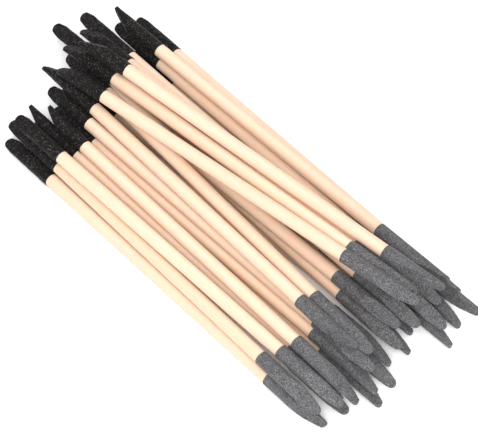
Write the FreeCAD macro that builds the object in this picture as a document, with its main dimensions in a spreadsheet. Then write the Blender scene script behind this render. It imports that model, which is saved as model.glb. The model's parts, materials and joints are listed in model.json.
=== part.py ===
import FreeCAD, Part
import math
import os
import Sketcher
from FreeCAD import Placement, Rotation, Vector

# A loose pile of double-ended blending sticks. Each is a round wooden dowel, cut to a slanted
# chisel tip at both ends, with a dark coarse grit coat on one tip and a pale fine one on the other.
# +X runs along the pile towards the pale tips, +Z is up, and the origin is the middle of the
# pile's footprint on the table.

doc = FreeCAD.newDocument("BlendingSticks")

# ---------------------------------------------------------------- driving sizes, in mm
sheet = doc.addObject("Spreadsheet::Sheet", "Sizes")
sizes = [
    ("stickLength", 120.0, "length of the bare dowel, tip to tip"),
    ("dowelDiameter", 3.5, "diameter of the bare dowel"),
    ("gritThickness", 0.175, "glue and grit on every coated face"),
    ("tipThickness", 0.75, "wood left at the chisel tips"),
    ("darkNose", 1.35, "radius of the round end of a dark tip, seen square to its slanted cut"),
    ("paleNose", 1.15, "the same for a pale tip"),
    ("tipEase", 0.1, "how far outside the dowel the flanks of a tip start"),
    ("darkBevel", 7.5, "length of the slanted cut at the dark tip"),
    ("paleBevel", 12.0, "length of the slanted cut at the pale tip"),
    ("darkTaper", 6.5, "length over which the dark tip narrows"),
    ("paleTaper", 9.5, "length over which the pale tip narrows"),
    ("darkCoatShallow", 15.8, "dark coat, dipped least deep"),
    ("darkCoatMiddle", 17.6, "dark coat, usual depth"),
    ("darkCoatDeep", 19.8, "dark coat, dipped deepest"),
    ("paleCoatShallow", 17.8, "pale coat, dipped least deep"),
    ("paleCoatMiddle", 19.6, "pale coat, usual depth"),
    ("paleCoatDeep", 21.2, "pale coat, dipped deeper"),
    ("paleCoatDeepest", 23.0, "pale coat, dipped deepest"),
    ("skirtChamfer", 0.12, "where a coat thins out at its rim"),
    ("layGap", 0.12, "air left between two sticks that lie on each other"),
]
for row, (alias, value, note) in enumerate(sizes, 1):
    sheet.set("A%d" % row, alias)
    sheet.set("B%d" % row, str(value))
    sheet.set("C%d" % row, note)
    sheet.setAlias("B%d" % row, alias)
doc.recompute()

# ---------------------------------------------------------------- how one stick is cut and coated


def plane(body, role):
    return [p for p in body.Origin.OriginFeatures if p.Role == role][0]


def newSketch(body, name, role, turn=0.0):
    # a sketch on one of the body's own planes, turned about the stick's axis
    sketch = body.newObject("Sketcher::SketchObject", name)
    sketch.AttachmentSupport = [(plane(body, role), "")]
    sketch.MapMode = "FlatFace"
    sketch.AttachmentOffset = Placement(Vector(0, 0, 0), Rotation(Vector(1, 0, 0), turn))
    return sketch


def drive(sketch, kind, refs, expression):
    # one dimension of a sketch, bound to the sheet
    number = valueOf(expression)
    index = sketch.addConstraint(Sketcher.Constraint(kind, *refs, number))
    sketch.setExpression("Constraints[%d]" % index, expression)


def valueOf(expression):
    value = sheet.evalExpression(expression.replace("Sizes.", ""))
    return float(getattr(value, "Value", value))


def addPolygon(sketch, points):
    # a closed outline whose corners are placed from the origin by expressions
    at = [Vector(valueOf(x), valueOf(y), 0) for x, y in points]
    count = len(points)
    for i in range(count):
        sketch.addGeometry(Part.LineSegment(at[i], at[(i + 1) % count]), False)
    for i in range(count):
        sketch.addConstraint(Sketcher.Constraint("Coincident", i, 2, (i + 1) % count, 1))
    for i, (x, y) in enumerate(points):
        drive(sketch, "DistanceX", (-1, 1, i, 1), x)
        drive(sketch, "DistanceY", (-1, 1, i, 1), y)


def cutThrough(body, sketch, name):
    # removes the outline right through the stick, and makes sure that it did
    before = body.Shape.Volume
    pocket = body.newObject("PartDesign::Pocket", name)
    pocket.Profile = sketch
    pocket.Midplane = True
    pocket.Type = 0
    pocket.setExpression("Length", "4 * Sizes.dowelDiameter")
    doc.recompute()
    if not body.Shape.Volume < before:
        raise RuntimeError(name + " cuts nothing")


def along(end, distance):
    # a distance from the tip of one end, as a position on the stick
    return distance if end == "dark" else "Sizes.stickLength - (%s)" % distance


def cutTip(body, end, grit, turn):
    # the slanted cut, then the rounding of the chisel edge; grit is the thickness laid on the wood
    bevel = "Sizes.darkBevel" if end == "dark" else "Sizes.paleBevel"
    slope = "((Sizes.dowelDiameter - Sizes.tipThickness) / %s)" % bevel
    base = "(Sizes.tipThickness - Sizes.dowelDiameter / 2 + %s * sqrt(1 + %s ^ 2))" % (grit, slope)

    def height(distance):
        return "%s + (%s) * %s" % (base, distance, slope)

    outside, inside = "-Sizes.dowelDiameter", "%s + Sizes.dowelDiameter" % bevel
    ceiling = "%s + Sizes.dowelDiameter" % height(inside)
    sketch = newSketch(body, end + "BevelOutline", "XZ_Plane", turn)
    addPolygon(sketch, [
        (along(end, outside), height(outside)),
        (along(end, inside), height(inside)),
        (along(end, inside), ceiling),
        (along(end, outside), ceiling),
    ])
    cutThrough(body, sketch, end + "Bevel")

    # seen square to the bevel the tip is a leaf: a round nose between two long curved flanks,
    # which end a little outside the stick
    taper = "Sizes.darkTaper" if end == "dark" else "Sizes.paleTaper"
    woodNose = "Sizes.darkNose" if end == "dark" else "Sizes.paleNose"
    wide = "(Sizes.dowelDiameter / 2 + Sizes.tipEase + %s)" % grit
    clear = "(Sizes.dowelDiameter + %s)" % grit
    nose = "(%s + %s)" % (woodNose, grit)
    sketch = newSketch(body, end + "TipOutline", "XY_Plane", turn)
    corners = [(taper, wide), (taper, clear), (outside, clear),
               (outside, "-" + clear), (taper, "-" + clear), (taper, "-" + wide)]
    corners = [(along(end, x), y) for x, y in corners]
    at = [Vector(valueOf(x), valueOf(y), 0) for x, y in corners]
    for a, b in zip(at, at[1:]):
        sketch.addGeometry(Part.LineSegment(a, b), False)
    for i in range(4):
        sketch.addConstraint(Sketcher.Constraint("Coincident", i, 2, i + 1, 1))
    for i, (x, y) in enumerate(corners):
        point = (i, 1) if i < 5 else (4, 2)
        drive(sketch, "DistanceX", (-1, 1) + point, x)
        drive(sketch, "DistanceY", (-1, 1) + point, y)

    # the radius of the flanks follows from the nose and from where they end
    small, half = valueOf(nose), valueOf(wide)
    reach = valueOf(taper) - valueOf(woodNose)
    large = (reach ** 2 + half ** 2 - small ** 2) / (2 * (half - small))
    sign = 1 if end == "dark" else -1
    noseX, flankX = valueOf(along(end, woodNose)), valueOf(along(end, taper))
    lean = math.atan2(large - half, reach)

    def arc(x, y, size, first, last):
        circle = Part.Circle(Vector(x, y, 0), Vector(0, 0, 1), size)
        return sketch.addGeometry(Part.ArcOfCircle(circle, first, last), False)

    if end == "dark":
        tip = arc(noseX, 0, small, math.pi - lean, math.pi + lean)
        flanks = [(arc(flankX, half - large, large, math.pi / 2, math.pi - lean), 1, 2, 1, (0, 1)),
                  (arc(flankX, large - half, large, math.pi + lean, 1.5 * math.pi), 2, 1, 2, (4, 2))]
    else:
        tip = arc(noseX, 0, small, -lean, lean)
        flanks = [(arc(flankX, half - large, large, lean, math.pi / 2), 2, 1, 2, (0, 1)),
                  (arc(flankX, large - half, large, -math.pi / 2, -lean), 1, 2, 1, (4, 2))]
    sketch.addConstraint(Sketcher.Constraint("PointOnObject", tip, 3, -1))
    drive(sketch, "DistanceX", (-1, 1, tip, 3), along(end, woodNose))
    drive(sketch, "Radius", (tip,), nose)
    for flank, outer, inner, atTip, corner in flanks:
        sketch.addConstraint(Sketcher.Constraint("Coincident", flank, outer, *corner))
        sketch.addConstraint(Sketcher.Constraint("Tangent", tip, atTip, flank, inner))
        drive(sketch, "DistanceX", (-1, 1, flank, 3), along(end, taper))
    doc.recompute()
    cutThrough(body, sketch, end + "TipRounding")


def makeRod(label, grit, start, length):
    # a plain round rod on the X axis
    body = doc.addObject("PartDesign::Body", label)
    doc.recompute()
    sketch = newSketch(body, "round", "YZ_Plane")
    sketch.AttachmentOffset = Placement(Vector(0, 0, valueOf(start)), Rotation())
    sketch.setExpression("AttachmentOffset.Base.z", start)
    sketch.addGeometry(Part.Circle(Vector(0, 0, 0), Vector(0, 0, 1), 1.0), False)
    sketch.addConstraint(Sketcher.Constraint("Coincident", 0, 3, -1, 1))
    drive(sketch, "Diameter", (0,), "Sizes.dowelDiameter + 2 * %s" % grit)
    pad = body.newObject("PartDesign::Pad", "rod")
    pad.Profile = sketch
    pad.setExpression("Length", length)
    doc.recompute()
    return body


def makeDowel(twist):
    # the wood: twist is how far the stick was turned between the two slanted cuts
    body = makeRod("dowelTwist%03d" % twist, "0", "0", "Sizes.stickLength")
    cutTip(body, "dark", "0", 0)
    cutTip(body, "pale", "0", twist)
    return body


def makeCoat(end, depth, dowel):
    # one closed cap of grit over a tip, hollow where the wood is
    grit = "Sizes.gritThickness"
    reach = "Sizes.%s + %s" % (depth, grit)
    start = "-" + grit if end == "dark" else "Sizes.stickLength - Sizes.%s" % depth
    outer = makeRod(depth + "Outer", grit, start, reach)
    cutTip(outer, end, grit, 0)
    rim = valueOf("Sizes." + depth)
    rim = rim if end == "dark" else valueOf("Sizes.stickLength") - rim
    names = ["Edge%d" % (i + 1) for i, e in enumerate(outer.Shape.Edges)
             if isinstance(e.Curve, Part.Circle) and abs(e.Curve.Center.x - rim) < 1e-6]
    chamfer = outer.newObject("PartDesign::Chamfer", "rim")
    chamfer.Base = (chamfer.BaseFeature, names)
    chamfer.setExpression("Size", "Sizes.skirtChamfer")
    doc.recompute()
    coat = doc.addObject("Part::Cut", depth)
    coat.Base = outer
    coat.Tool = dowel
    doc.recompute()
    return coat


dowels = {twist: makeDowel(twist) for twist in range(0, 360, 60)}
darkCoats = {depth: makeCoat("dark", depth, dowels[0])
             for depth in ("darkCoatShallow", "darkCoatMiddle", "darkCoatDeep")}
paleCoats = {depth: makeCoat("pale", depth, dowels[0])
             for depth in ("paleCoatShallow", "paleCoatMiddle", "paleCoatDeep", "paleCoatDeepest")}

# ---------------------------------------------------------------- how the pile is laid
# Each row is one stick, in the order that they were laid: where its dark tip is along the pile,
# how far across the pile its dark tip and its pale tip lie, how far it is rolled about its own
# axis (the dark bevel faces up at 0 and towards -Y at 90), the twist between its two bevels, and
# how deep it was dipped at each end. The first twelve are the bottom of the pile.
lie = [
    (-56.5, -11.0, -11.5, 100, 240, "Shallow", "Deep"),
    (-63.0, 1.5, 5.0, 20, 300, "Shallow", "Deep"),
    (-57.5, 12.5, 14.0, 20, 300, "Shallow", "Deep"),
    (-58.5, -6.5, -5.5, 10, 0, "Shallow", "Deep"),
    (-60.5, 15.5, 13.5, 20, 0, "Middle", "Deep"),
    (-67.0, 5.5, 9.5, 30, 300, "Middle", "Deep"),
    (-60.5, 19.5, 19.5, 40, 300, "Shallow", "Deep"),
    (-79.5, 8.5, 9.5, 28, 120, "Shallow", "Middle"),
    (-59.5, 23.5, 24.0, 20, 60, "Shallow", "Middle"),
    (-62.5, -3.5, -2.5, 30, 300, "Shallow", "Deep"),
    (-63.5, 9.0, 7.0, 28, 0, "Shallow", "Deep"),
    (-60.5, -15.5, -20.0, 28, 0, "Shallow", "Middle"),
    (-61.0, -24.0, -27.5, 15, 60, "Middle", "Middle"),
    (-65.5, 24.5, 22.5, 40, 60, "Shallow", "Middle"),
    (-67.0, 19.0, 18.0, 28, 0, "Middle", "Deep"),
    (-63.0, -21.0, -27.0, 20, 0, "Deep", "Deep"),
    (-62.0, -16.0, -18.5, 110, 180, "Deep", "Middle"),
    (-58.0, -10.5, -11.5, 30, 300, "Shallow", "Deepest"),
    (-61.5, -9.0, -10.5, 28, 0, "Shallow", "Middle"),
    (-64.0, 5.0, 1.5, 28, 0, "Shallow", "Deep"),
    (-66.5, 1.5, 3.0, 35, 0, "Shallow", "Deep"),
    (-73.0, 12.5, 8.5, 28, 300, "Deep", "Deepest"),
    (-67.5, 8.5, 8.5, -20, 0, "Middle", "Middle"),
    (-63.5, 0.0, -9.0, 28, 0, "Shallow", "Deep"),
    (-64.5, 0.0, 6.5, -20, 60, "Middle", "Deep"),
    (-60.0, -21.5, -22.5, 28, 0, "Middle", "Deep"),
    (-56.5, -14.5, -19.5, 95, 240, "Shallow", "Deepest"),
    (-66.0, -5.5, -12.5, -40, 120, "Deep", "Middle"),
    (-68.0, 19.0, 21.0, 100, 0, "Middle", "Deepest"),
    (-60.5, -6.0, 3.5, -15, 60, "Shallow", "Deepest"),
    (-60.0, 1.5, 11.5, -40, 120, "Shallow", "Shallow"),
]
bottomCount = 12

length = valueOf("Sizes.stickLength")
radius = valueOf("Sizes.dowelDiameter / 2 + Sizes.gritThickness")
apart = 2 * radius + valueOf("Sizes.layGap")


def heightNeeded(x, y, laid):
    # how high the axis of a stick must be over one point of the table to clear all that is laid
    need = radius
    for start, way in laid:
        # nearest point of the laid stick, measured level
        level = math.hypot(way.x, way.y)
        run = ((x - start.x) * way.x + (y - start.y) * way.y) / level ** 2
        aside = abs((x - start.x) * way.y - (y - start.y) * way.x) / level
        if -1 < run < length + 1 and aside < apart:
            need = max(need, start.z + run * way.z + math.sqrt(apart ** 2 - aside ** 2))
    return need


def lay(startX, darkY, paleY, laid):
    # lowers a stick until it bears on two points, one on each side of its middle
    across = paleY - darkY
    level = Vector(math.sqrt(length ** 2 - across ** 2), across, 0) / length
    stops = [i / 240 for i in range(241)]
    need = [heightNeeded(startX + level.x * length * s, darkY + level.y * length * s, laid)
            for s in stops]
    hull = []
    for s, z in zip(stops, need):
        while len(hull) > 1:
            (s1, z1), (s2, z2) = hull[-2:]
            if (z2 - z1) * (s - s1) > (z - z1) * (s2 - s1):
                break
            hull.pop()
        hull.append((s, z))
    (s1, z1), (s2, z2) = [(a, b) for a, b in zip(hull, hull[1:]) if a[0] <= 0.5 <= b[0]][0]
    rise = (z2 - z1) / (s2 - s1)
    way = Vector(level.x * length, level.y * length, rise)
    way.normalize()
    return Vector(startX, darkY, z1 - rise * s1), way


laid = []
for startX, darkY, paleY, roll, twist, darkDepth, paleDepth in lie:
    laid.append(lay(startX, darkY, paleY, laid))


def place(source, label, start, way, roll):
    # one copy of a master piece, turned about its own axis and then laid along its line
    link = doc.addObject("App::Link", label)
    link.Label = label
    link.LinkedObject = source
    heading = math.degrees(math.atan2(way.y, way.x))
    pitch = math.degrees(math.asin(way.z))
    turn = Rotation(Vector(0, 0, 1), heading) * Rotation(Vector(0, 1, 0), -pitch)
    link.Placement = Placement(start, turn * Rotation(Vector(1, 0, 0), roll))
    return link


sticks = []
for number, (row, (start, way)) in enumerate(zip(lie, laid), 1):
    roll, twist, darkDepth, paleDepth = row[3:]
    name = "stick_%02d_" % number
    sticks.append([
        place(dowels[twist], name + "dowel", start, way, roll),
        place(darkCoats["darkCoat" + darkDepth], name + "dark_grit", start, way, roll),
        place(paleCoats["paleCoat" + paleDepth], name + "pale_grit", start, way, roll + twist),
    ])
doc.recompute()

# the origin goes to the middle of the footprint, on the table
box = FreeCAD.BoundBox()
for stick in sticks:
    for piece in stick:
        box.add(Part.getShape(piece).optimalBoundingBox(False, False))
shift = Vector(-box.Center.x, -box.Center.y, -box.ZMin)
for stick in sticks:
    for piece in stick:
        piece.Placement = Placement(piece.Placement.Base + shift, piece.Placement.Rotation)

# ---------------------------------------------------------------- the library's nodes
groups = []
for kind, label in enumerate(("bottom_dowels", "bottom_dark_grit", "bottom_pale_grit")):
    group = doc.addObject("Part::Compound", label)
    group.Label = label
    group.Links = [stick[kind] for stick in sticks[:bottomCount]]
    groups.append(group)
doc.recompute()

nodes = groups + [piece for stick in sticks[bottomCount:] for piece in stick]
for item in doc.Objects:
    if "Invalid" in item.State or "Error" in item.State:
        raise RuntimeError(item.Label + " did not build")
for node in nodes:
    shape = Part.getShape(node)
    wanted = bottomCount if node in groups else 1
    if not shape.isValid() or len(shape.Solids) != wanted:
        raise RuntimeError(node.Label + " is not sound")

os.makedirs("parts", exist_ok=True)
for node in nodes:
    Part.getShape(node).exportStep("parts/%s.step" % node.Label)

for number, (start, way) in enumerate(laid, 1):
    tip = start + shift
    print("stick %02d from %.3f %.3f %.3f along %.6f %.6f %.6f"
          % (number, tip.x, tip.y, tip.z, way.x, way.y, way.z))
print("%d nodes written" % len(nodes))
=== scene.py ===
import bpy
import bmesh
import json
import math
import random
import numpy as np
from mathutils import Matrix, Vector

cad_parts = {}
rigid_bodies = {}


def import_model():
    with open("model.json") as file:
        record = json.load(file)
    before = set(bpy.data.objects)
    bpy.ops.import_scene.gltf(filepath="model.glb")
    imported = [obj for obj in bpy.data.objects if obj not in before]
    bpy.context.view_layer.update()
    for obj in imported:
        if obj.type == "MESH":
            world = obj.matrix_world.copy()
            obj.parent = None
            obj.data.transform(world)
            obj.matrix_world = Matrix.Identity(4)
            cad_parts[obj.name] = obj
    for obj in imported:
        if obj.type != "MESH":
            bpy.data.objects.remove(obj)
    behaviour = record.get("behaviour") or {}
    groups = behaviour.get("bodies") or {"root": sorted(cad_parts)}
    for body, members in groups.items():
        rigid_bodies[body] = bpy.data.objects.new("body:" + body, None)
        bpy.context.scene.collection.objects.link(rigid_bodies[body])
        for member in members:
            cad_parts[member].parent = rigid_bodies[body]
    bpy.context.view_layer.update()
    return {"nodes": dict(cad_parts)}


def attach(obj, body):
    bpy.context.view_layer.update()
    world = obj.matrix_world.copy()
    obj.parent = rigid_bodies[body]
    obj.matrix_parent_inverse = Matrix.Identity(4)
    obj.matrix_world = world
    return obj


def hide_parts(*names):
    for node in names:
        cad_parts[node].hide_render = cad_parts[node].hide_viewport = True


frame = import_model()
mm = 0.001

# A loose pile of wooden blending sticks, coarse dark grit on one tip and fine grey grit on the
# other. Every stick is modelled lying on +X with its dark tip at the origin, then laid where its
# CAD stick lies.

stickCut = {
    "tipThickness": 0.75 * mm,   # wood left at the chisel tips
    "darkNose": 1.35 * mm,       # round end of a tip, seen square to its slanted cut
    "paleNose": 1.15 * mm,
    "tipEase": 0.1 * mm,         # how far outside the dowel the flanks of a tip start
    "darkBevel": 7.5 * mm,
    "paleBevel": 12.0 * mm,
    "darkTaper": 6.5 * mm,       # length over which a tip narrows
    "paleTaper": 9.5 * mm,
    "noseFacets": 3,             # flats that make up each side of the round end
    "flankFacets": 5,            # and each long curved flank
    "tolerance": 0.0001 * mm,
}


# small helpers

def openForEdit(obj):
    bpy.ops.object.select_all(action="DESELECT")
    obj.select_set(True)
    bpy.context.view_layer.objects.active = obj
    bpy.ops.object.mode_set(mode="EDIT")
    bpy.ops.mesh.select_all(action="SELECT")


def closeEdit():
    bpy.ops.object.mode_set(mode="OBJECT")
    bpy.ops.object.select_all(action="DESELECT")


def applyModifier(obj, modifier):
    bpy.ops.object.select_all(action="DESELECT")
    obj.select_set(True)
    bpy.context.view_layer.objects.active = obj
    bpy.ops.object.modifier_apply(modifier=modifier.name)
    obj.select_set(False)


def cutBeyond(point, normal):
    # cuts away what lies beyond a plane and closes the cut
    bpy.ops.mesh.select_all(action="SELECT")
    bpy.ops.mesh.bisect(plane_co=point, plane_no=normal, use_fill=True, clear_outer=True,
                        threshold=stickCut["tolerance"])


# where each stick lies, read from its CAD solids

measuring = {
    "weld": 0.002 * mm,   # CAD vertices nearer than this are one
    "rounds": 3,
    "sideSlant": 0.05,    # faces this square to the stick belong to its round side
    "endSlant": 0.1,      # faces that lean further than this belong to a tip
}


def looseCopies(node):
    # the separate solids of a CAD node, as merged copies
    copy = node.copy()
    copy.data = node.data.copy()
    bpy.context.scene.collection.objects.link(copy)
    copy.parent = None
    copy.matrix_world = node.matrix_world.copy()
    openForEdit(copy)
    bpy.ops.mesh.remove_doubles(threshold=measuring["weld"])
    before = set(bpy.data.objects)
    bpy.ops.mesh.separate(type="LOOSE")
    closeEdit()
    return [copy] + [o for o in bpy.data.objects if o not in before]


def faceTable(obj):
    mesh = obj.data
    count = len(mesh.polygons)
    centres, normals, areas = np.zeros(count * 3), np.zeros(count * 3), np.zeros(count)
    mesh.polygons.foreach_get("center", centres)
    mesh.polygons.foreach_get("normal", normals)
    mesh.polygons.foreach_get("area", areas)
    points = np.zeros(len(mesh.vertices) * 3)
    mesh.vertices.foreach_get("co", points)
    return centres.reshape(-1, 3), normals.reshape(-1, 3), areas, points.reshape(-1, 3)


def measureStick(dowel):
    centres, normals, areas, points = faceTable(dowel)
    side = np.ones(len(areas), bool)
    for attempt in range(measuring["rounds"]):   # the stick's way is square to its side faces
        weighted = normals[side] * areas[side][:, None]
        values, vectors = np.linalg.eigh(weighted.T @ normals[side])
        way = vectors[:, 0] * (1 if vectors[0, 0] > 0 else -1)
        side = np.abs(normals @ way) < measuring["sideSlant"]
    flat = normals[side] - np.outer(normals[side] @ way, way)
    flat /= np.linalg.norm(flat, axis=1)[:, None]
    # each side face lies one radius from the axis: n . (c - p) = r
    grid = np.c_[flat, np.ones(side.sum())] * areas[side][:, None]
    reach = np.einsum("ij,ij->i", flat, centres[side]) * areas[side]
    answer = np.linalg.lstsq(np.r_[grid, [np.r_[way, 0]]], np.r_[reach, 0], rcond=None)[0]
    onAxis, radius = answer[:3], answer[3]
    run = (points - onAxis) @ way
    stick = {"way": Vector(way), "tip": Vector(onAxis + way * run.min()),
             "length": float(run.max() - run.min()), "radius": float(radius)}
    lean = normals @ way
    for end, facing in (("dark", lean < -measuring["endSlant"]),
                        ("pale", lean > measuring["endSlant"])):
        up = (normals[facing] * areas[facing][:, None]).sum(axis=0)
        up -= way * (up @ way)
        stick[end + "Up"] = Vector(up / np.linalg.norm(up))
    return stick


def measureCoat(stick, coat):
    # where a coat starts and ends along its stick
    points = faceTable(coat)[3]
    run = (points - np.array(stick["tip"])) @ np.array(stick["way"])
    return float(run.min()), float(run.max())


def discard(objects):
    for obj in objects:
        mesh = obj.data
        bpy.data.objects.remove(obj)
        bpy.data.meshes.remove(mesh)


def offAxis(stick, coat):
    # how far the middle of a coat is from the stick's axis
    points = faceTable(coat)[3]
    centre = Vector((points.min(axis=0) + points.max(axis=0)) / 2) - stick["tip"]
    return (centre - stick["way"] * centre.dot(stick["way"])).length


def readSticks():
    found = []
    nodes = frame["nodes"]
    for name in sorted(nodes):
        if not name.endswith(("_dowel", "_dowels")):
            continue
        lot = name.rpartition("_")[0]   # "bottom", or one loose stick
        darkNode, paleNode = lot + "_dark_grit", lot + "_pale_grit"
        dowels = looseCopies(nodes[name])
        darks, pales = looseCopies(nodes[darkNode]), looseCopies(nodes[paleNode])
        for dowel in dowels:
            stick = measureStick(dowel)
            dark = min(darks, key=lambda o: offAxis(stick, o))
            pale = min(pales, key=lambda o: offAxis(stick, o))
            stick["darkDepth"] = measureCoat(stick, dark)[1]
            stick["paleDepth"] = stick["length"] - measureCoat(stick, pale)[0]
            stick["grit"] = -measureCoat(stick, dark)[0]
            stick["nodes"] = (name, darkNode, paleNode)
            stick["body"] = "pile_bottom" if lot == "bottom" else lot
            found.append(stick)
        discard(dowels + darks + pales)
    return found


print("measuring the CAD sticks")
sticks = readSticks()
print(len(sticks), "sticks")


# the cutter's work on one tip, shared by the wood and the coats

def sliceBothSides(left, right, distance, angle, outward, roll):
    # two slices that mirror each other, each touching a round outline at the given angle
    for centre, sign in ((left, 1), (right, -1)):
        away = Vector((outward * math.cos(angle), sign * math.sin(angle), 0))
        cutBeyond(roll @ (centre + away * distance), roll @ away)


def cutTip(end, length, radius, grit, turn):
    thick, nose = stickCut["tipThickness"], stickCut[end + "Nose"]
    bevel, taper = stickCut[end + "Bevel"], stickCut[end + "Taper"]
    outward = -1 if end == "dark" else 1
    origin = Vector((0, 0, 0)) if end == "dark" else Vector((length, 0, 0))
    roll = Matrix.Rotation(turn, 3, "X")
    slope = (2 * radius - thick) / bevel
    normal = Vector((outward * slope, 0, 1)).normalized()
    cutBeyond(origin + roll @ (Vector((0, 0, thick - radius)) + normal * grit), roll @ normal)

    # seen square to the bevel the tip is a leaf: a round nose between two long curved flanks
    wide, reach = radius + stickCut["tipEase"], taper - nose
    flank = (reach ** 2 + wide ** 2 - nose ** 2) / (2 * (wide - nose))
    lean = math.atan2(flank - wide, reach)
    noseCentre = origin - Vector((outward * nose, 0, 0))
    facets = stickCut["noseFacets"]
    for facet in range(facets + 1):
        sliceBothSides(noseCentre, noseCentre, nose + grit, lean * (facet / facets), outward, roll)
    inset = Vector((0, flank - wide, 0))
    flankCentre = origin - Vector((outward * taper, 0, 0))
    facets = stickCut["flankFacets"]
    for facet in range(1, facets):
        angle = lean + (math.pi / 2 - lean) * (facet / facets)
        sliceBothSides(flankCentre - inset, flankCentre + inset, flank + grit, angle, outward, roll)


def roundRod(name, radius, start, end, sides, rings):
    # a round rod on the X axis, divided along its length
    bpy.ops.object.select_all(action="DESELECT")
    bpy.ops.mesh.primitive_cylinder_add(
        vertices=sides, radius=radius, depth=end - start,
        location=((start + end) / 2, 0, 0), rotation=(0, math.pi / 2, 0))
    rod = bpy.context.active_object
    rod.name = name
    bpy.ops.object.transform_apply(location=True, rotation=True, scale=True)
    openForEdit(rod)
    mesh = bmesh.from_edit_mesh(rod.data)
    for edge in mesh.edges:
        edge.select = abs(edge.verts[0].co.x - edge.verts[1].co.x) > (end - start) / 2
    mesh.select_mode = {"EDGE"}
    mesh.select_flush_mode()
    bmesh.update_edit_mesh(rod.data)
    bpy.ops.mesh.subdivide(number_cuts=rings)
    return rod


# wood

dowelLook = {
    "sides": 40,
    "rings": 58,
    "twistStep": 60,   # degrees from the roll of one tip to the other; equal twists share a master
}


def modelDowel(stick, twist):
    length, radius = stick["length"], stick["radius"]
    rod = roundRod("dowelMaster%03d" % twist, radius, 0, length,
                   dowelLook["sides"], dowelLook["rings"])
    cutTip("dark", length, radius, 0, 0)
    cutTip("pale", length, radius, 0, math.radians(twist))
    closeEdit()
    return rod


def twistOf(stick):
    dark, pale, way = stick["darkUp"], stick["paleUp"], stick["way"]
    angle = math.degrees(math.atan2(dark.cross(pale).dot(way), dark.dot(pale)))
    step = dowelLook["twistStep"]
    return round(angle / step) * step % 360


# grit

coatLook = {
    "sides": 72,
    "rings": 40,
    "bed": 0.85,              # share of the coat that lies under the grains
    "mesh": 0.15 * mm,        # size of the mesh that carries the grains
    "darkRelief": 0.11 * mm,
    "darkGrain": 0.42 * mm,
    "paleRelief": 0.075 * mm,
    "paleGrain": 0.3 * mm,
    "lumpRelief": 0.10 * mm,  # where the glue lay thicker
    "lump": 2.2 * mm,
}


def roughen(obj, name, size, height):
    texture = bpy.data.textures.new(name, "CLOUDS")
    texture.noise_scale = size
    texture.noise_depth = 1
    bumps = obj.modifiers.new(name, "DISPLACE")
    bumps.texture = texture
    bumps.texture_coords = "LOCAL"
    bumps.strength = height
    bumps.mid_level = 0.5
    applyModifier(obj, bumps)


def modelCoat(stick, end, depth, core):
    length, radius, grit = stick["length"], stick["radius"], stick["grit"]
    bed = grit * coatLook["bed"]
    start, stop = (-2 * grit, depth) if end == "dark" else (length - depth, length + 2 * grit)
    coat = roundRod("%sCoatMaster%03d" % (end, round(depth / mm * 10)), radius + bed,
                    start, stop, coatLook["sides"], coatLook["rings"])
    cutTip(end, length, radius, bed, 0)
    closeEdit()
    grains = coat.modifiers.new("grains", "REMESH")
    grains.mode = "VOXEL"
    grains.voxel_size = coatLook["mesh"]
    applyModifier(coat, grains)
    roughen(coat, end + "Lumps", coatLook["lump"], coatLook["lumpRelief"])
    roughen(coat, end + "Grains", coatLook[end + "Grain"], coatLook[end + "Relief"])
    bore = coat.modifiers.new("bore", "BOOLEAN")   # the wood goes up the middle
    bore.operation = "DIFFERENCE"
    bore.object = core
    bore.solver = "EXACT"
    applyModifier(coat, bore)
    return coat


# laying a copy of a master where its stick lies

grainShift = (0, 0.013, 0.029)   # metres from the grain of one stick to the next


def layCopy(master, name, stick, up, number, material, node):
    piece = master.copy()
    piece.data = master.data.copy()
    piece.name = piece.data.name = name
    bpy.context.scene.collection.objects.link(piece)
    mesh = piece.data
    count = len(mesh.vertices)
    points = np.zeros(count * 3)
    mesh.vertices.foreach_get("co", points)
    along = points.reshape(-1, 3) + np.array(grainShift) * number
    own = mesh.attributes.new("stickSpace", "FLOAT_VECTOR", "POINT")   # grain follows the stick
    own.data.foreach_set("vector", along.ravel())
    tone = mesh.attributes.new("tone", "FLOAT", "POINT")
    tone.data.foreach_set("value", np.full(count, random.Random(number).random()))
    way = stick["way"]
    side = up.cross(way)
    turn = Matrix((way, side, up)).transposed().to_4x4()
    mesh.transform(Matrix.Translation(stick["tip"]) @ turn)
    mesh.materials.clear()
    mesh.materials.append(material)
    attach(piece, stick["body"])
    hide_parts(node)


# building blocks of the materials

def newGroup(name, inputs, outputs):
    group = bpy.data.node_groups.new(name, "ShaderNodeTree")
    for label, kind, value in inputs:
        socket = group.interface.new_socket(label, in_out="INPUT", socket_type="NodeSocket" + kind)
        if value is not None:
            socket.default_value = value
    for label, kind in outputs:
        group.interface.new_socket(label, in_out="OUTPUT", socket_type="NodeSocket" + kind)
    return group, group.nodes.new("NodeGroupInput"), group.nodes.new("NodeGroupOutput")


def add(tree, kind, links=(), **values):
    # one node, its settings, and what feeds its inputs
    node = tree.nodes.new("ShaderNode" + kind)
    for key, value in values.items():
        setattr(node, key, value)
    for socket, source in links:
        if hasattr(source, "links"):
            tree.links.new(source, node.inputs[socket])
        else:
            node.inputs[socket].default_value = source
    return node


def ramp(tree, source, span):
    # black to white over a span of the source
    node = add(tree, "ValToRGB", [("Fac", source)])
    for element, place in zip(node.color_ramp.elements, span):
        element.position = place
    return node.outputs["Color"]


def mixColour(tree, factor, first, second):
    node = add(tree, "Mix", data_type="RGBA")
    for index, source in ((0, factor), (6, first), (7, second)):
        if hasattr(source, "links"):
            tree.links.new(source, node.inputs[index])
        else:
            node.inputs[index].default_value = source
    return node.outputs[2]


gritPattern = {
    "fine": 9000.0,            # speckles to a metre
    "patches": 520.0,
    "shade": (0.38, 1.05),
    "rough": (0.45, 0.95),
    "glintRough": -0.25,       # a grain with the painted glint is also smoother
}


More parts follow.
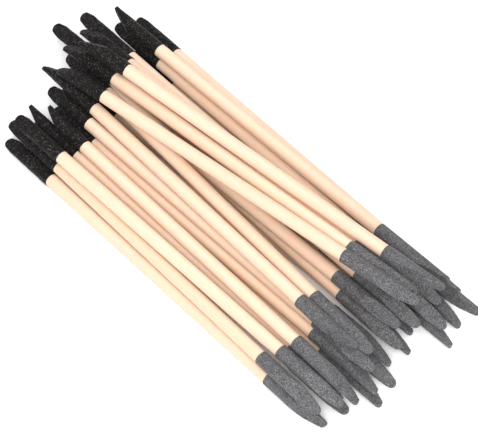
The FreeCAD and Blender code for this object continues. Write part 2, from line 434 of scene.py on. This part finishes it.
def gritGroup():
    # packed grains: each has its own shade; a few get a painted glint, a bright colour, and are
    # smoother
    group, given, out = newGroup(
        "gritGrains",
        [("Vector", "Vector", None), ("Grain Size", "Float", 3000.0),
         ("Dark Grain", "Color", (0, 0, 0, 1)), ("Light Grain", "Color", (1, 1, 1, 1)),
         ("Glint", "Color", (1, 1, 1, 1)), ("Glint Share", "Float", 0.05)],
        [("Color", "Color"), ("Roughness", "Float"), ("Height", "Float")])
    grains = add(group, "TexVoronoi", [("Vector", given.outputs["Vector"]),
                                       ("Scale", given.outputs["Grain Size"])], feature="F1")
    fine = add(group, "TexNoise", [("Vector", given.outputs["Vector"]),
                                   ("Scale", gritPattern["fine"]), ("Detail", 1.0)])
    patches = add(group, "TexNoise", [("Vector", given.outputs["Vector"]),
                                      ("Scale", gritPattern["patches"]),
                                      ("Detail", 3.0), ("Roughness", 0.6)])
    parts = add(group, "SeparateColor", [("Color", grains.outputs["Color"])])
    shade = add(group, "Math", [(0, parts.outputs["Red"]), (1, patches.outputs["Fac"])],
                operation="MULTIPLY")
    shade = add(group, "Math", [(0, shade.outputs[0]), (1, fine.outputs["Fac"])], operation="ADD")
    shade = ramp(group, shade.outputs[0], gritPattern["shade"])
    body = mixColour(group, shade, given.outputs["Dark Grain"], given.outputs["Light Grain"])
    # painted glint: a share of the grains takes the bright glint colour
    limit = add(group, "Math", [(0, 1.0), (1, given.outputs["Glint Share"])],
                operation="SUBTRACT")
    bright = add(group, "Math", [(0, parts.outputs["Green"]), (1, limit.outputs[0])],
                 operation="GREATER_THAN")
    colour = mixColour(group, bright.outputs[0], body, given.outputs["Glint"])
    group.links.new(colour, out.inputs["Color"])
    rough = add(group, "MapRange", [("Value", parts.outputs["Blue"]),
                                    ("To Min", gritPattern["rough"][0]),
                                    ("To Max", gritPattern["rough"][1])])
    shiny = add(group, "Math", [(0, bright.outputs[0]), (1, gritPattern["glintRough"])],
                operation="MULTIPLY")
    rough = add(group, "Math", [(0, rough.outputs[0]), (1, shiny.outputs[0])], operation="ADD")
    group.links.new(rough.outputs[0], out.inputs["Roughness"])
    dome = add(group, "Math", [(0, 1.0), (1, grains.outputs["Distance"])], operation="SUBTRACT")
    height = add(group, "Math", [(0, dome.outputs[0]), (1, parts.outputs["Red"])],
                 operation="MULTIPLY")
    group.links.new(height.outputs[0], out.inputs["Height"])
    return group


woodPattern = {
    "bands": (9, 420, 420),       # noise to a metre, along and across a stick
    "streaks": (40, 2600, 2600),
    "pores": (420, 5200, 5200),
    "poreSpan": (0.66, 0.78),
}


def stretchedNoise(group, vector, stretch, settings):
    place = add(group, "Mapping", [("Vector", vector), ("Scale", stretch)])
    return add(group, "TexNoise", [("Vector", place.outputs[0]), ("Scale", 1.0)] + settings)


def grainGroup():
    # long fine streaks of the wood, with short pores
    group, given, out = newGroup(
        "woodGrain", [("Vector", "Vector", None)],
        [("Streaks", "Float"), ("Bands", "Float"), ("Pores", "Float")])
    vector = given.outputs["Vector"]
    bands = stretchedNoise(group, vector, woodPattern["bands"],
                           [("Detail", 3.0), ("Distortion", 0.4)])
    streaks = stretchedNoise(group, vector, woodPattern["streaks"],
                             [("Detail", 4.0), ("Roughness", 0.65)])
    pores = stretchedNoise(group, vector, woodPattern["pores"], [("Detail", 1.0)])
    pits = add(group, "MapRange", [("Value", pores.outputs["Fac"]),
                                   ("From Min", woodPattern["poreSpan"][0]),
                                   ("From Max", woodPattern["poreSpan"][1])])
    group.links.new(streaks.outputs["Fac"], out.inputs["Streaks"])
    group.links.new(bands.outputs["Fac"], out.inputs["Bands"])
    group.links.new(pits.outputs[0], out.inputs["Pores"])
    return group


woodLook = {
    "light": (0.78, 0.595, 0.465, 1),
    "warm": (0.745, 0.52, 0.36, 1),
    "pore": (0.52, 0.30, 0.18, 1),
    "streakSpan": (0.3, 0.7),
    "bandSpan": (0.35, 0.72),
    "streakShare": 0.35,      # of the streaks in the bands
    "toneShare": 0.3,         # of the stick's own tone in both
    "poreShare": 0.35,
    "rough": (0.42, 0.6),
    "bumpStrength": 0.35,
    "bump": 0.03 * mm,
    "specular": 0.7,
    "glow": 0.5,              # light that goes into the wood and comes out beside
    "glowReach": 1.0 * mm,
    "glowColour": (1.0, 0.42, 0.2),
}

# the glint colours are painted glints, given to a share of the grains
gritLook = {
    "dark": {"grain": 3800.0,   # grains to a metre
             "low": (0.0016, 0.0014, 0.0014, 1), "high": (0.0100, 0.0084, 0.0080, 1),
             "glint": (0.046, 0.042, 0.041, 1), "share": 0.12,
             "bump": 0.08 * mm, "specular": 0.16, "sheen": 0.02},
    "pale": {"grain": 6600.0,
             "low": (0.016, 0.0155, 0.0165, 1), "high": (0.145, 0.141, 0.146, 1),
             "glint": (0.23, 0.225, 0.235, 1), "share": 0.09,
             "bump": 0.04 * mm, "specular": 0.2, "sheen": 0.12},
    "bumpStrength": 0.8,
    "sheenRough": 0.35,
}


def startMaterial(name):
    material = bpy.data.materials.new(name)
    material.use_nodes = True
    tree = material.node_tree
    shader = tree.nodes["Principled BSDF"]
    place = add(tree, "Attribute", attribute_name="stickSpace")
    return material, tree, shader, place.outputs["Vector"]


def birchMaterial(grain):
    material, tree, shader, place = startMaterial("paleBirch")
    wood = add(tree, "Group", node_tree=grain)
    tree.links.new(place, wood.inputs["Vector"])
    streaks = ramp(tree, wood.outputs["Streaks"], woodLook["streakSpan"])
    bands = ramp(tree, wood.outputs["Bands"], woodLook["bandSpan"])
    both = mixColour(tree, woodLook["streakShare"], bands, streaks)
    tone = add(tree, "Attribute", attribute_name="tone")
    both = mixColour(tree, woodLook["toneShare"], both, tone.outputs["Fac"])
    colour = mixColour(tree, both, woodLook["light"], woodLook["warm"])
    faint = add(tree, "Math", [(0, wood.outputs["Pores"]), (1, woodLook["poreShare"])],
                operation="MULTIPLY")
    colour = mixColour(tree, faint.outputs[0], colour, woodLook["pore"])
    tree.links.new(colour, shader.inputs["Base Color"])
    rough = add(tree, "MapRange", [("Value", wood.outputs["Streaks"]),
                                   ("To Min", woodLook["rough"][0]),
                                   ("To Max", woodLook["rough"][1])])
    tree.links.new(rough.outputs[0], shader.inputs["Roughness"])
    relief = add(tree, "Bump", [("Strength", woodLook["bumpStrength"]),
                                ("Distance", woodLook["bump"]),
                                ("Height", wood.outputs["Streaks"])])
    tree.links.new(relief.outputs["Normal"], shader.inputs["Normal"])
    shader.inputs["Specular IOR Level"].default_value = woodLook["specular"]
    shader.inputs["Subsurface Weight"].default_value = woodLook["glow"]
    shader.inputs["Subsurface Radius"].default_value = woodLook["glowColour"]
    shader.inputs["Subsurface Scale"].default_value = woodLook["glowReach"]
    return material


def gritMaterial(name, look, grit):
    material, tree, shader, place = startMaterial(name)
    coat = add(tree, "Group", node_tree=grit)
    tree.links.new(place, coat.inputs["Vector"])
    coat.inputs["Grain Size"].default_value = look["grain"]
    coat.inputs["Dark Grain"].default_value = look["low"]
    coat.inputs["Light Grain"].default_value = look["high"]
    coat.inputs["Glint"].default_value = look["glint"]
    coat.inputs["Glint Share"].default_value = look["share"]
    tree.links.new(coat.outputs["Color"], shader.inputs["Base Color"])
    tree.links.new(coat.outputs["Roughness"], shader.inputs["Roughness"])
    relief = add(tree, "Bump", [("Strength", gritLook["bumpStrength"]),
                                ("Distance", look["bump"]),
                                ("Height", coat.outputs["Height"])])
    tree.links.new(relief.outputs["Normal"], shader.inputs["Normal"])
    shader.inputs["Specular IOR Level"].default_value = look["specular"]
    shader.inputs["Sheen Weight"].default_value = look["sheen"]
    shader.inputs["Sheen Roughness"].default_value = gritLook["sheenRough"]
    return material


print("mixing materials")
grain, grit = grainGroup(), gritGroup()
birch = birchMaterial(grain)
darkGrit = gritMaterial("darkGrit", gritLook["dark"], grit)
paleGrit = gritMaterial("paleGrit", gritLook["pale"], grit)

print("modelling and laying the sticks")
dowelMasters, coatMasters = {}, {}
for number, stick in enumerate(sticks):
    twist = twistOf(stick)
    if twist not in dowelMasters:
        dowelMasters[twist] = modelDowel(stick, twist)
    if 0 not in dowelMasters:
        dowelMasters[0] = modelDowel(stick, 0)
    name = "stick%02d" % (number + 1)
    layCopy(dowelMasters[twist], name + "Wood", stick, stick["darkUp"], number, birch,
            stick["nodes"][0])
    for end, up, material, node in (("dark", stick["darkUp"], darkGrit, stick["nodes"][1]),
                                    ("pale", stick["paleUp"], paleGrit, stick["nodes"][2])):
        depth = round(stick[end + "Depth"] / mm, 1)
        if (end, depth) not in coatMasters:
            coatMasters[end, depth] = modelCoat(stick, end, depth * mm, dowelMasters[0])
            print(end, "coat", depth, "mm:", len(coatMasters[end, depth].data.polygons), "faces")
        layCopy(coatMasters[end, depth], name + end.title() + "Coat", stick, up, number, material,
                node)
discard(list(dowelMasters.values()) + list(coatMasters.values()))


# floor, light and camera

studio = {
    "floorSize": 6.0,
    "floorColour": (0.93, 0.93, 0.93, 1),
    "floorRough": 0.9,
    "lamps": (("keyLight", (-0.25, 0.35, 1.1), 1.4, 7.5),    # name, place, size, watts
              ("fillLight", (0.62, -0.62, 1.1), 0.9, 23.5)),
    "roomLight": 0.5,
    "cameraAt": (0.59196, -0.54429, 1.03132),
    "lookAt": (0.007998, 0.001337, 0.006),
    "lens": 390.5,
    "clip": (0.01, 20),
}


def aimAtPile(obj):
    aim = Vector(studio["lookAt"]) - obj.location
    obj.rotation_euler = aim.to_track_quat("-Z", "Y").to_euler()


def buildStudio():
    bpy.ops.mesh.primitive_plane_add(size=studio["floorSize"], location=(0, 0, 0))
    floor = bpy.context.active_object
    floor.name = "floor"
    paper = bpy.data.materials.new("whitePaper")
    paper.use_nodes = True
    shader = paper.node_tree.nodes["Principled BSDF"]
    shader.inputs["Base Color"].default_value = studio["floorColour"]
    shader.inputs["Roughness"].default_value = studio["floorRough"]
    floor.data.materials.append(paper)
    for name, at, size, power in studio["lamps"]:
        lamp = bpy.data.lights.new(name, "AREA")
        lamp.size = size
        lamp.energy = power
        obj = bpy.data.objects.new(name, lamp)
        obj.location = at
        aimAtPile(obj)
        bpy.context.scene.collection.objects.link(obj)
    world = bpy.data.worlds.new("softRoom")
    world.use_nodes = True
    room = world.node_tree.nodes["Background"]
    room.inputs["Color"].default_value = (1, 1, 1, 1)
    room.inputs["Strength"].default_value = studio["roomLight"]
    bpy.context.scene.world = world
    camera = bpy.data.objects.new("camera", bpy.data.cameras.new("camera"))
    camera.location = studio["cameraAt"]
    aimAtPile(camera)
    camera.data.lens = studio["lens"]
    camera.data.clip_start, camera.data.clip_end = studio["clip"]
    bpy.context.scene.collection.objects.link(camera)
    bpy.context.scene.camera = camera
    bpy.context.scene.view_settings.view_transform = "Standard"


print("setting up the studio")
buildStudio()
